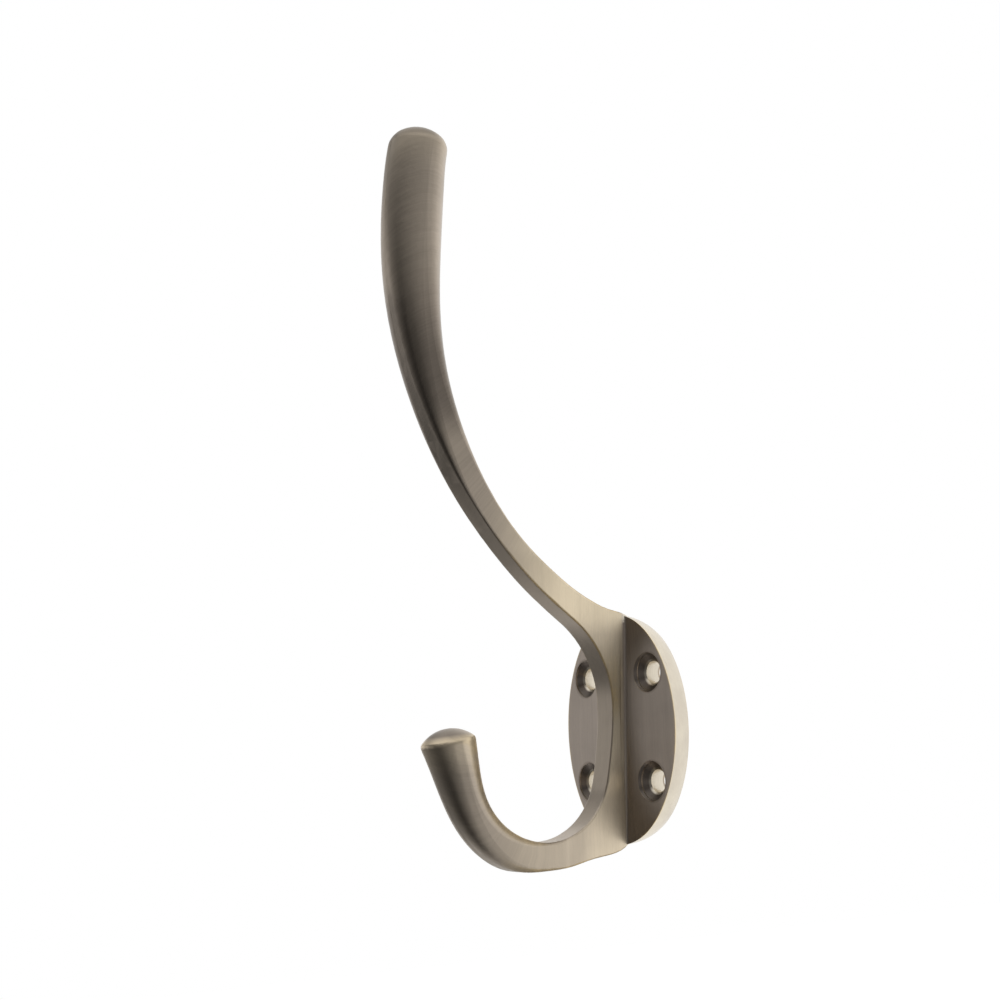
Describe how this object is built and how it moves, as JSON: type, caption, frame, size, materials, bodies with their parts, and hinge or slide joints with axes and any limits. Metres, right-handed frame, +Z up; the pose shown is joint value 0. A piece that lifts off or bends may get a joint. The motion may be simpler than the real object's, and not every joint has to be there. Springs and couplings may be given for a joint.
{
  "type": "hat and coat hook",
  "caption": "Wall hook with an oval screw plate, a long swept upper arm for a hat and a short rounded lower hook for a coat.",
  "frame": {"origin": "centre of the plate's flat back face, which lies against the wall", "axes": "+Z up along the plate and the upper arm, -Y out from the wall, +X across the plate; X = 0 is the plane of symmetry"},
  "size_m": [0.0378, 0.0627, 0.1585],
  "materials": {
    "antique_brass": "satin brushed, darkened brown-grey, with paler worn edges"
  },
  "bodies": {
    "root": {"hook_casting": "antique_brass"}
  },
  "joints": []
}
